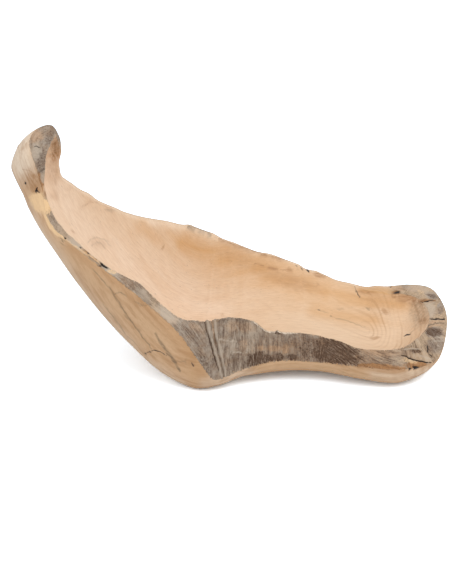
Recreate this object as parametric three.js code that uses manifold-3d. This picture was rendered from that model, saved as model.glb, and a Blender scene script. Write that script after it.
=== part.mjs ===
// Free-form bowl carved from one piece of olive root, in millimetres, +Z up.
// A tall curled horn stands at the left, the hollow runs down from it into a shallow tail at the right,
// and the front rim keeps the root's weathered natural face. The whole bowl is one solid piece of wood,
// lofted through sections that stand on its keel, the lowest line of the hull.
import * as THREE from 'three';
import { mergeVertices } from 'three/addons/utils/BufferGeometryUtils.js';
import Module from 'manifold-3d';

// Main sizes. x runs from the horn to the tail, y from front to back, z up from the resting plane.
const HORN_REACH = 253.5; // upper end of the keel, left of the origin
const HORN_RISE = 237; // and above the resting plane
const HORN_Y = 10;
const HORN_PULL = 60; // how far the keel keeps the horn's own direction
const HORN_LEAN = 16; // that direction's slope from upright, in degrees
const HEEL_REACH = 40; // lowest place of the hull, left of the origin, under the weathered face
const HEEL_Y = -42;
const HEEL_PULL = 90; // how far before the heel the keel turns level
const TAIL_REACH = 198; // end of the keel under the tail
const TAIL_Y = 5;
const FRONT_DEPTH = 94; // foremost place of the rim
const BACK_DEPTH = 108; // rearmost place of the rim
const WAIST_ARCH = 9; // lift of the keel between heel and tail
const FLAT_DEPTH = 2.5; // wood that is sanded off the keel to make the two resting flats
const FLOOR = 20; // wood between the keel and the hollow
const HOLLOW_Y = 10; // middle line of the hollow's floor
const BACK_RIM = 7; // width of the thin rim along the back
const BACK_ROUND = 2.3; // how boxy the hull is: 2 is an ellipse
const TAIL_ROUND = 2;
const HORN_ROUND = 1.6;
const HOLLOW_ROUND = 2.2; // how flat the hollow's floor is: 1 is a straight-sided groove

// Sections from horn to tail. at: place along the keel, from 0 to 1. lean: tilt from upright, in degrees.
// lip is the edge of the hollow, and edge is where the rim's face meets the hull. Both are [inset, height]:
// set in from the foremost or rearmost place of the rim, and above the keel.
// On the back the lip follows from the rim's width, apart from the wide rim at the tail.
const SECTIONS = [
  { name: 'horn', at: 0, lean: 72,
    front: { lip: [77, 44.5], edge: [68, 36.5], round: 2 }, back: { edge: [70, 57.5] } },
  { name: 'throat', at: 0.05, lean: 67,
    front: { lip: [75, 36.5], edge: [71, 32.5], round: 2 }, back: { edge: [66, 47] } },
  { name: 'nape', at: 0.1175, lean: 62,
    front: { lip: [68, 31], edge: [61, 23], round: 2 }, back: { edge: [52, 47.5] } },
  { name: 'prow', at: 0.1825, lean: 57,
    front: { lip: [56, 42.5], edge: [51, 37.5], round: 2 }, back: { edge: [36, 62.5] } },
  { name: 'shoulder', at: 0.2415, lean: 49,
    front: { lip: [44, 58], edge: [37, 54], round: 2.1 }, back: { edge: [23, 81] } },
  { name: 'flank', at: 0.3, lean: 38.5,
    front: { lip: [42, 73.5], edge: [26, 65.5], round: 2.2 }, back: { edge: [16, 101.5] } },
  { name: 'haunch', at: 0.36, lean: 28.5,
    front: { lip: [30, 79], edge: [16, 72], round: 2.5 }, back: { edge: [11, 118] } },
  { name: 'heel', at: 0.43, lean: 16,
    front: { lip: [25, 83], edge: [7, 71], round: 3.3 }, back: { edge: [8, 129], round: 3.2 } },
  { name: 'hip', at: 0.5, lean: 7.5,
    front: { lip: [22, 89], edge: [0, 43], round: 4.2 }, back: { edge: [5, 127], round: 4 } },
  { name: 'crest', at: 0.5425, lean: 4,
    front: { lip: [22, 88], edge: [1, 19], round: 3.4 }, back: { edge: [4, 117], round: 4 } },
  { name: 'saddle', at: 0.615, lean: 2,
    front: { lip: [23, 85], edge: [13, 21], round: 2.7 }, back: { edge: [2, 100], round: 3.2 } },
  { name: 'waist', at: 0.705, lean: 0,
    front: { lip: [28, 61], edge: [25, 25], round: 3 }, back: { edge: [0, 83] } },
  { name: 'loin', at: 0.805, lean: 0,
    front: { lip: [30, 56], edge: [24, 24], round: 3 }, back: { edge: [1, 63.5] } },
  { name: 'rump', at: 0.905, lean: 3,
    front: { lip: [24, 47], edge: [11, 30], round: 3.4 }, back: { edge: [3, 51.5], round: 2.8 } },
  { name: 'tail', at: 1, lean: 0,
    front: { lip: [32, 47], edge: [8, 31], round: 3.7 }, back: { lip: [34, 56], edge: [3, 52.5], round: 2.8 } },
];
// The rim round the end of the tail, front to back: [past the last section, y, height above the keel].
const TAIL_END = [
  { lip: [29, -33, 50], edge: [41, -61, 29] },
  { lip: [44, 6, 52], edge: [65.5, 0, 49] },
  { lip: [42, 44, 54], edge: [65.5, 60, 54] },
  { lip: [29, 64, 55], edge: [53, 96, 54] },
];
// The rim over the top of the horn, back to front: [past the first section, y, height from the keel].
const HORN_TOP = [
  { lip: [20, 19, 61.5], edge: [21, 25, 64.5] },
  { lip: [28, 5, 65.5], edge: [40, 12, 62.5] },
  { lip: [26, -1, 63.5], edge: [43, 6, 51.5] },
  { lip: [23, -8, 59.5], edge: [39, -12, 40.5] },
  { lip: [15, -14, 52.5], edge: [26, -28, 39.5] },
];

// Facets: steps between neighbouring rim places, and steps down each surface.
const RIM_STEPS = 5;
const HOLLOW_STEPS = 9;
const FACE_STEPS = 3;
const HULL_STEPS = 11;

const vector = (place) => new THREE.Vector3(...place);
const { clamp, degToRad, lerp } = THREE.MathUtils;

// The keel sweeps from the horn down to the heel, then runs in a low arch to the tail.
class Keel extends THREE.Curve {
  constructor() {
    super();
    const horn = vector([-HORN_REACH, HORN_Y, HORN_RISE]);
    const lean = degToRad(HORN_LEAN);
    const below = horn.clone().add(vector([Math.sin(lean), 0, -Math.cos(lean)]).multiplyScalar(HORN_PULL));
    const heel = vector([-HEEL_REACH, HEEL_Y, -FLAT_DEPTH]);
    const before = vector([-HEEL_REACH - HEEL_PULL, (HORN_Y + HEEL_Y) / 2, -FLAT_DEPTH]);
    this.sweep = new THREE.CubicBezierCurve3(horn, below, before, heel);
  }

  getPoint(at) {
    if (at < 0.5) return this.sweep.getPoint(2 * at);
    const along = 2 * at - 1;
    const x = lerp(-HEEL_REACH, TAIL_REACH, along);
    const y = lerp(HEEL_Y, TAIL_Y, Math.sin((Math.PI / 2) * along));
    return vector([x, y, WAIST_ARCH * Math.sin(Math.PI * along) ** 2 - FLAT_DEPTH]);
  }
}
const keelLine = new Keel();

// The plane of a section at w, which runs evenly from the first section, 0, to the last, 1.
// depth points along the section from the keel into the hollow, and past points out of it towards the tail.
const last = SECTIONS.length - 1;
const spread = new THREE.SplineCurve(SECTIONS.map((s) => new THREE.Vector2(s.at, s.lean)));
function plane(w) {
  const { x: at, y: degrees } = spread.getPoint(w);
  const lean = degToRad(degrees);
  const keel = keelLine.getPoint(clamp(at, 0, 1));
  const depth = vector([Math.sin(lean), 0, Math.cos(lean)]);
  const past = vector([Math.cos(lean), 0, -Math.sin(lean)]);
  const trough = keel.clone().addScaledVector(depth, FLOOR).setY(HOLLOW_Y);
  return { keel, depth, past, trough };
}

// A point of the rim, from its distance past a section, its y, and its height above the keel there.
function rimPoint(w, distance, y, height) {
  const { keel, depth, past } = plane(w);
  return keel.addScaledVector(depth, height).addScaledVector(past, distance).setY(y);
}

// Every place of the rim in one closed round: front from horn to tail, tail end, back from tail to horn, horn top.
const frontPlaces = SECTIONS.map(({ front }, i) => ({
  w: i / last,
  round: front.round,
  lip: rimPoint(i / last, 0, front.lip[0] - FRONT_DEPTH, front.lip[1]),
  edge: rimPoint(i / last, 0, front.edge[0] - FRONT_DEPTH, front.edge[1]),
}));
const backPlaces = SECTIONS.map(({ back }, i) => {
  const [inset, height] = back.lip ?? [back.edge[0] + BACK_RIM, back.edge[1]];
  return {
    w: i / last,
    round: back.round ?? BACK_ROUND,
    lip: rimPoint(i / last, 0, BACK_DEPTH - inset, height),
    edge: rimPoint(i / last, 0, BACK_DEPTH - back.edge[0], back.edge[1]),
  };
});
const tailPlaces = TAIL_END.map(({ lip, edge }) => ({
  w: 1,
  round: TAIL_ROUND,
  lip: rimPoint(1, ...lip),
  edge: rimPoint(1, ...edge),
}));
const hornPlaces = HORN_TOP.map(({ lip, edge }) => ({
  w: 0,
  round: HORN_ROUND,
  lip: rimPoint(0, -lip[0], lip[1], lip[2]),
  edge: rimPoint(0, -edge[0], edge[1], edge[2]),
}));
const rimPlaces = [...frontPlaces, ...tailPlaces, ...backPlaces.reverse(), ...hornPlaces];
const lipLine = new THREE.CatmullRomCurve3(rimPlaces.map((p) => p.lip), true);
const edgeLine = new THREE.CatmullRomCurve3(rimPlaces.map((p) => p.edge), true);

// One half section, from the floor of the hollow over the rim to the keel, at step i of the rim's round.
const rimCount = rimPlaces.length * RIM_STEPS;
function halfSection(i) {
  const here = Math.floor(i / RIM_STEPS);
  const part = i / RIM_STEPS - here;
  const place = rimPlaces[here];
  const next = rimPlaces[(here + 1) % rimPlaces.length];
  const { keel, depth, trough } = plane(lerp(place.w, next.w, part));
  const lip = lipLine.getPoint(i / rimCount);
  const edge = edgeLine.getPoint(i / rimCount);
  const points = [];
  // A point at a share of the way across from base to rim, risen by a share of the depth between them.
  const addPoint = (base, rim, share, risen) => {
    const toRim = rim.clone().sub(base);
    const height = toRim.dot(depth);
    toRim.addScaledVector(depth, -height);
    points.push(base.clone().addScaledVector(toRim, share).addScaledVector(depth, height * risen));
  };
  for (let k = 0; k < HOLLOW_STEPS; k++) {
    const share = k / HOLLOW_STEPS;
    addPoint(trough, lip, share, share ** HOLLOW_ROUND);
  }
  for (let k = 0; k < FACE_STEPS; k++) {
    points.push(lip.clone().lerp(edge, k / FACE_STEPS));
  }
  const power = 2 / lerp(place.round, next.round, part);
  for (let k = 0; k <= HULL_STEPS; k++) {
    const turn = (Math.PI / 2) * (1 - k / HULL_STEPS);
    addPoint(keel, edge, Math.sin(turn) ** power, 1 - Math.cos(turn) ** power);
  }
  return points;
}

// Skins the half sections into one closed surface. Front and back meet along the hollow's floor and the keel.
function skin(halves) {
  const corners = [];
  const addTriangle = (a, b, c) => {
    const area = b.clone().sub(a).cross(c.clone().sub(a)).length();
    if (area > 1e-6) corners.push(a, b, c);
  };
  halves.forEach((near, i) => {
    const far = halves[(i + 1) % halves.length];
    for (let k = 0; k + 1 < near.length; k++) {
      addTriangle(near[k], far[k + 1], far[k]);
      addTriangle(near[k], near[k + 1], far[k + 1]);
    }
  });
  return new THREE.BufferGeometry().setFromPoints(corners);
}

const wasm = await Module();
wasm.setup();

function solidOf(geometry) {
  const bare = geometry.index ? geometry.toNonIndexed() : geometry;
  const merged = mergeVertices(new THREE.BufferGeometry().setAttribute('position', bare.getAttribute('position')), 1e-3);
  return new wasm.Manifold(new wasm.Mesh({
    numProp: 3,
    vertProperties: merged.attributes.position.array,
    triVerts: new Uint32Array(merged.index.array),
  }));
}

function geometryOf(solid) {
  const mesh = solid.getMesh();
  return new THREE.BufferGeometry()
    .setAttribute('position', new THREE.BufferAttribute(mesh.vertProperties, 3))
    .setIndex(new THREE.BufferAttribute(mesh.triVerts, 1));
}

const blank = skin(Array.from({ length: rimCount }, (_, i) => halfSection(i)));
blank.computeBoundingBox();
const size = blank.boundingBox.getSize(new THREE.Vector3());
const centre = blank.boundingBox.getCenter(new THREE.Vector3());

// The underside is sanded flat where the bowl stands, with a block well larger than the bowl.
const sanding = new THREE.BoxGeometry(2 * size.x, 2 * size.y, 2 * size.z);
sanding.translate(centre.x, centre.y, -size.z);
const carved = geometryOf(solidOf(blank).subtract(solidOf(sanding)));
carved.computeVertexNormals();

const oliveWood = new THREE.MeshStandardMaterial({ color: '#cfa87a', roughness: 0.6, metalness: 0 });
const bowl = new THREE.Mesh(carved, oliveWood);
bowl.name = 'bowl';

// The origin is on the resting plane, below the middle of the bowl's length and depth.
const oliveRootBowl = new THREE.Group();
oliveRootBowl.add(bowl);
oliveRootBowl.position.set(-centre.x, -centre.y, 0);
export default oliveRootBowl;
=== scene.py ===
"""Free-form bowl carved from one piece of olive root: its looks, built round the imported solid."""

import math
from typing import NamedTuple

import bmesh
import bpy
import numpy as np
from bpy.props import FloatProperty, FloatVectorProperty, PointerProperty
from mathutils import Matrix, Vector


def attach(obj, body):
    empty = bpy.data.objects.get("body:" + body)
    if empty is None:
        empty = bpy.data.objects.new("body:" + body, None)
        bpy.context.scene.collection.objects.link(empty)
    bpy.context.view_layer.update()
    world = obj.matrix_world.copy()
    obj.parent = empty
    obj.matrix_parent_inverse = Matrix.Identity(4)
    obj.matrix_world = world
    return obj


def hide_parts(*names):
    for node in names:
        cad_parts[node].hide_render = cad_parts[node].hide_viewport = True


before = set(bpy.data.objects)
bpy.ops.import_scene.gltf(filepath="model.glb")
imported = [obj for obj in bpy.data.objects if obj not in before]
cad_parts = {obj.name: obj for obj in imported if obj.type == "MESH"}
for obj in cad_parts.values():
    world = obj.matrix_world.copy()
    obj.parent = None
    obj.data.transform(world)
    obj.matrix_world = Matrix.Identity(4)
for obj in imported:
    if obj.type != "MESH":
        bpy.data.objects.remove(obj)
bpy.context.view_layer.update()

bl_info = {
    "name": "Olive Root Bowl",
    "version": (1, 0, 0),
    "blender": (4, 5, 0),
    "location": "View3D > Sidebar > Bowl",
    "description": "Carves a free-form olive root bowl with a weathered natural rim",
    "category": "Add Mesh",
}

MM = 0.001
PHOTO_WIDTH = 452
PHOTO_HEIGHT = 584
SENSOR = 36.0  # on the photo's long side, in camera millimetres


def linear(code):
    """A linear colour with full alpha from an sRGB hex value."""
    shares = [int(code[i:i + 2], 16) / 255 for i in (1, 3, 5)]
    return tuple(s / 12.92 if s <= 0.04045 else ((s + 0.055) / 1.055) ** 2.4 for s in shares) + (1.0,)


class Section(NamedTuple):
    """A cross-section that stands on the keel. Sizes are in millimetres.

    at is its place along the keel, from 0 to 1, and lean its tilt from upright in degrees.
    lip, the edge of the hollow, and edge, where the rim's face meets the hull, are (inset, height):
    set in from the foremost or rearmost place of the rim, and above the keel.
    round is how boxy the hull is below the edge, and grey how weathered the front rim's face is.
    """

    name: str
    at: float
    lean: float
    lip: tuple
    edge: tuple
    round: float
    grey: float
    back_edge: tuple
    back_round: float = 2.3


SECTIONS = (
    Section("horn", 0, 72, (77, 44.5), (68, 36.5), 2, 0.9, (70, 57.5)),
    Section("throat", 0.05, 67, (75, 36.5), (71, 32.5), 2, 0.0, (66, 47)),
    Section("nape", 0.1175, 62, (68, 31), (61, 23), 2, 0.8, (52, 47.5)),
    Section("prow", 0.1825, 57, (56, 42.5), (51, 37.5), 2, 0.12, (36, 62.5)),
    Section("shoulder", 0.2415, 49, (44, 58), (37, 54), 2.1, 0.8, (23, 81)),
    Section("flank", 0.3, 38.5, (42, 73.5), (26, 65.5), 2.2, 0.8, (16, 101.5)),
    Section("haunch", 0.36, 28.5, (30, 79), (16, 72), 2.5, 0.35, (11, 118)),
    Section("heel", 0.43, 16, (25, 83), (7, 71), 3.7, 0.9, (8, 129), 3.2),
    Section("hip", 0.5, 7.5, (22, 89), (0, 43), 4.4, 0.9, (5, 127), 4),
    Section("crest", 0.5425, 4, (22, 88), (1, 21), 2.6, 0.9, (4, 117), 4),
    Section("saddle", 0.615, 2, (23, 85), (13, 25), 2.1, 0.8, (2, 100), 3.2),
    Section("waist", 0.705, 0, (28, 61), (25, 25), 3, 0.8, (0, 83)),
    Section("loin", 0.805, 0, (30, 56), (24, 24), 3, 0.9, (1, 63.5)),
    Section("rump", 0.905, 3, (24, 47), (11, 30), 3.4, 0.7, (3, 51.5), 2.8),
    Section("tail", 1, 0, (32, 47), (8, 31), 3.7, 0.6, (3, 52.5), 2.8),
)
TAIL_BACK_LIP = (34, 56)  # the back rim widens at the last section
# The rim round the end of the tail, front to back: (past the last section, y, height above the keel).
TAIL_LIPS = ((29, -33, 50), (44, 6, 52), (42, 44, 54), (29, 64, 55))
TAIL_EDGES = ((45.5, -60, 30), (66, 0, 49), (65.5, 60, 54), (53, 96, 54))
# The rim over the top of the horn, back to front: (past the first section, y, height from the keel).
HORN_LIPS = ((20, 19, 61.5), (28, 5, 65.5), (26, -1, 63.5), (23, -8, 59.5), (15, -14, 52.5))
HORN_EDGES = ((21, 25, 64.5), (40, 12, 62.5), (43, 6, 51.5), (39, -12, 40.5), (26, -28, 39.5))
TAIL_GREY = 0.3
BACK_GREY = 0.05
HORN_GREY = 0.95


class Line(NamedTuple):
    """A crack, vein or band of colour along pixels of the photo. Width and relief are in millimetres.

    A groove or a ridge has relief alone.
    """

    kind: str
    surface: str
    points: tuple
    width: float
    strength: float = 1.0
    relief: float = 0.0


# A flute of the weathered face and the ridges beside it.
FLUTE = ((204.2, 321), (208.6, 336.6), (212, 348), (215.6, 360), (219, 371))
LEFT_RIDGE = ((206.8, 320), (211, 337), (214.6, 349.6), (217.6, 360), (221.6, 378))
RIGHT_RIDGE = ((214.8, 319), (218, 342), (221.6, 357), (226, 377))

LINES = (
    # Veins and small checks of the sanded hull.
    Line("vein_and_shade", "hull", ((92, 268), (111, 290), (128, 317), (144, 339), (152, 349)), 1.7, 0.75),
    Line("vein_and_shade", "hull", ((103, 304), (114, 318), (126, 335), (137, 346)), 1.3, 0.5),
    Line("vein_and_shade", "hull", ((115, 294), (120.5, 292.3), (127, 296.5)), 1.4, 0.8),
    Line("vein_and_shade", "hull", ((155.5, 333.5), (160, 341), (167, 351), (173, 359), (180, 371)), 3.2, 0.85),
    Line("vein_and_shade", "hull", ((134, 301), (141, 304.5), (147, 306)), 1.4, 0.5),
    Line("vein_and_shade", "hull", ((176, 361.4), (186, 361.2)), 1.3, 0.45),
    Line("vein_and_shade", "hull", ((62.4, 239), (62.6, 244)), 1.6, 0.8),
    Line("crack", "hull", ((144.5, 354), (150, 352.5), (155, 350.2), (160.5, 351.5), (167, 355.5)),
         1.0, 0.75, -0.4),
    Line("crack", "hull", ((191.5, 362.5), (194, 368)), 1.0, 0.7, -0.3),
    Line("crack", "hull", ((36.6, 191), (37.2, 187.4)), 1.4, 0.9, -0.8),
    Line("crack", "hull", ((36.8, 191.4), (40.4, 193.6)), 1.3, 0.75, -0.5),
    Line("crack", "face", ((34.4, 146.8), (37, 146), (40.6, 147.6)), 1.0, 0.6, -0.4),
    # The weathered face's flutes and fibres, painted shadow in one flute's groove, and the brown line below
    # it.
    Line("groove", "face", FLUTE, 1.8, 1.0, -1.3),
    # Painted shadow along the flute's groove.
    Line("dark", "face", FLUTE, 1.3, 0.65),
    Line("ridge", "face", LEFT_RIDGE, 3.6, 1.0, 1.2),
    Line("pale", "face", LEFT_RIDGE, 2.6, 0.55),
    Line("groove", "face", ((211.6, 320), (214.4, 333.8), (217, 344.4), (219.8, 357), (223.6, 373)),
         2.0, 1.0, -1.0),
    Line("tan", "face", ((211.6, 321), (213.6, 331), (216, 343)), 2.4, 0.8),
    Line("ridge", "face", RIGHT_RIDGE, 3.2, 1.0, 1.0),
    Line("pale", "face", RIGHT_RIDGE, 2.4, 0.6),
    Line("groove", "face", ((222.4, 345), (226.2, 357), (230, 368)), 1.8, 1.0, -0.6),
    Line("groove", "face", ((231, 350), (233, 360), (234.6, 368)), 1.8, 1.0, -0.6),
    Line("pale", "face", ((217.4, 338.4), (226, 340.4), (231, 341.4), (237, 341.8)), 1.2, 0.9, 0.3),
    Line("pale", "face", ((229.7, 351.4), (240, 352.8), (247, 353)), 1.2, 0.9, 0.3),
    Line("pale", "face", ((236, 325), (239, 331), (240, 338)), 2.2, 0.4, 0.3),
    Line("brown", "outside", ((359, 365.6), (380, 366.8), (404, 368.6)), 7.0),
    # Splits and checks of the tail's end.
    Line("crack", "outside", ((401.4, 354.4), (409, 357.9), (419.6, 361.1), (431.5, 362.5)),
         1.4, 1.0, -1.6),
    Line("crack", "face", ((429.3, 318.4), (437, 318.4), (444.8, 318.8)), 1.6, 1.0, -1.2),
    Line("crack", "face", ((428.4, 345), (428.4, 352.1)), 1.3, 0.8, -0.8),
    Line("crack", "face", ((428.9, 353.6), (432.1, 357.1)), 1.3, 0.8, -0.8),
    Line("brown", "all", ((419, 302), (424, 300.4), (435, 300.6)), 3.4, 1.0, -0.6),
    Line("crack", "all", ((420.6, 301.4), (426, 300.2), (434, 300.4)), 1.4, 0.75, -0.8),
    Line("tan", "face", ((420.8, 333), (424.6, 325.4), (432.7, 321.6), (445, 320.8)), 2.0, 1.0, 0.3),
    Line("dark", "face", ((422.6, 332), (427, 326), (434.3, 323.2), (444.4, 323)), 1.3, 0.6, -0.3),
    Line("tan", "face", ((424.6, 331), (428.6, 327), (435, 325), (444, 325)), 1.6, 1.0, 0.3),
    Line("pale", "face", ((404, 349.5), (413, 348.5), (420, 349)), 1.6, 0.6, 0.4),
    Line("pale", "face", ((420, 356), (428, 358.6), (434, 358.6)), 1.6, 0.5, 0.4),
    Line("pale", "face", ((435, 336.5), (443.5, 338)), 1.1, 0.7, 0.3),
    Line("pale", "face", ((434, 340), (444, 341.6)), 1.1, 0.7, 0.3),
    # Veins, stains, and honey bands of warm wood and painted shade in the hollow and along its back rim.
    Line("crack", "hollow", ((353.5, 285), (357, 291), (359.7, 297.7)), 1.0, 0.6, -0.3),
    Line("crack", "hollow", ((404.3, 336.3), (410.4, 333.6)), 1.3, 0.9, -0.5),
    Line("vein_and_shade", "hollow", ((410.4, 333.6), (414, 329.4), (418, 322)), 1.6, 0.4),
    Line("vein_and_shade", "hollow", ((317, 309.5), (322, 311), (328, 313)), 1.3, 0.5),
    Line("vein_and_shade", "hollow", ((330, 317), (345, 320), (358, 325), (366, 328.5)), 1.3, 0.4),
    Line("vein_and_shade", "hollow", ((336, 309), (344, 310)), 1.3, 0.4),
    Line("vein_and_shade", "hollow", ((88, 244), (91, 239), (98, 237.5), (105, 240), (110, 246)), 1.4, 0.3),
    Line("vein_and_shade", "hollow", ((92, 246), (97, 242), (102, 244), (105, 249)), 1.4, 0.3),
    Line("vein_and_shade", "all", ((188, 225.8), (199.7, 229), (206, 231.4), (211, 234.4)), 2.6, 0.8),
    Line("brown", "all", ((218, 238.4), (239, 246.4), (252, 250.2), (265, 254.8), (278, 258.4), (289, 261)),
         2.2),
    Line("honey_and_shade", "hollow", ((300, 276), (335, 287), (375, 299)), 9, 0.6),
    Line("brown", "hollow", ((253, 263.6), (268, 266.6), (278, 269.4), (291, 269.8)), 1.5, 0.9),
    Line("brown", "hollow", ((82, 207), (90, 203), (100, 202), (112, 209)), 1.6, 0.35),
    Line("blush", "hollow", ((150, 223), (168, 226), (184, 229)), 4),
    Line("honey_and_shade", "hollow", ((140, 230), (165, 237), (190, 245)), 12, 0.4),
    Line("honey_and_shade", "hollow", ((182, 244), (230, 257), (288, 279), (346, 297), (400, 303)), 14, 0.8),
    Line("honey_and_shade", "all", ((362, 290), (380, 291), (394, 293)), 6, 0.9),
    Line("honey_and_shade", "hollow", ((225, 256), (262, 268), (300, 285)), 24, 0.8),
    Line("honey_and_shade", "hollow", ((255, 268), (285, 279), (325, 291)), 16, 0.95),
    Line("honey_and_shade", "hollow", ((318, 308), (345, 316), (372, 318)), 16, 0.6),
    Line("blush", "hollow", ((52, 175), (75, 225), (110, 248), (150, 280), (210, 314)), 28),
    # The hull's pale sapwood along the silhouette and over the horn, its warmer wood beside the face,
    # and the bare sapwood under the thin rim.
    Line("cream", "hull", ((28, 206), (40, 232), (80, 290), (140, 360), (180, 386)), 9, 0.5),
    Line("cream", "hull", ((22, 138), (18, 152), (22, 166)), 20),
    Line("cream", "hull", ((205, 384), (225, 379), (248, 370)), 8, 0.5),
    Line("cream", "hull", ((375, 374), (400, 376), (430, 370)), 8, 0.5),
    Line("honey_and_shade", "hull", ((182, 340), (192, 353), (200, 366), (205, 377)), 5, 0.9),
    Line("honey_and_shade", "hull", ((70, 246), (110, 273), (150, 305), (185, 345), (206, 379)), 10, 0.8),
    Line("brown", "hull", ((22, 169.4), (30, 170.6), (37, 174)), 1.5, 0.7),
    Line("honey_and_shade", "hull", ((28.8, 141), (31, 154), (35.4, 165.4), (39.2, 177)), 2.4),
    Line("yellow", "outside", ((44.5, 214), (49.5, 225), (56, 233), (64, 239.5)), 4.2, 0.9),
    Line("yellow", "outside", ((64, 238), (75, 246.5), (88, 254.5), (101, 263.5)), 3.2, 0.5),
)


class Spot(NamedTuple):
    """A hole, knot, stain or patch of painted shade round a pixel of the photo. Radii in pixels, relief in
    millimetres.
    """

    kind: str
    surface: str
    centre: tuple
    radii: tuple
    turn: float = 0.0  # degrees, clockwise in the photo
    strength: float = 1.0
    relief: float = 0.0


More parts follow.
